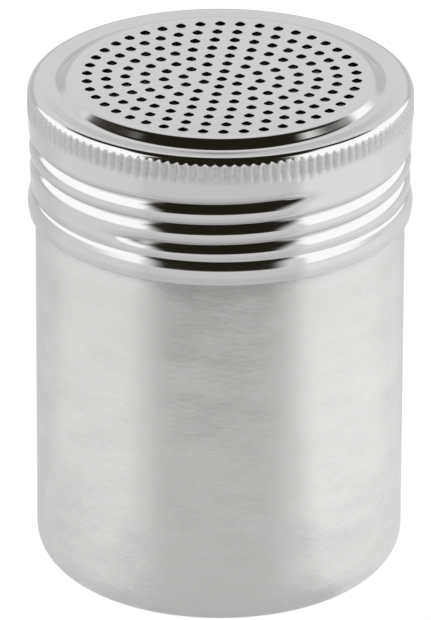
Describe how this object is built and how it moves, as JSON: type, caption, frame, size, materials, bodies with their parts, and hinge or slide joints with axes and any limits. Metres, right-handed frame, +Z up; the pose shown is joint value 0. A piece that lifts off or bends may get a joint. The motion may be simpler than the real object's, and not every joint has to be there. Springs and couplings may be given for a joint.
{
  "type": "spice shaker",
  "caption": "Cylindrical stainless shaker: a rounded-base cup closed by a knurled screw lid with a dished, perforated top for dredging salt, flour or spice.",
  "frame": {"origin": "centre of the base, on the surface that the shaker stands on", "axes": "+Z up along the shaker's own axis, -Y towards the front, +X to the right"},
  "size_m": [0.0702, 0.0702, 0.095],
  "materials": {
    "brushed_stainless": "drawn sheet, finely brushed round the axis",
    "polished_stainless": "polished stainless sheet, near mirror"
  },
  "bodies": {
    "cup": {"cup": "brushed_stainless"},
    "lid_carrier": {"lid_rolled_edge": "polished_stainless"},
    "lid": {"lid": "polished_stainless"}
  },
  "joints": [
    {"name": "lid_rise", "type": "slide", "parent": "cup", "child": "lid_carrier", "axis": [0, 0, 1], "range_m": [0, 0.02501]},
    {"name": "lid_turn", "type": "hinge", "parent": "lid_carrier", "child": "lid", "pos_m": [0, 0, 0], "axis": [0, 0, 1], "range_deg": [0, 2250]}
  ],
  "couplings": [
    {"joint": "lid_rise", "follows": "lid_turn", "m_per_rad": 0.00063662}
  ]
}
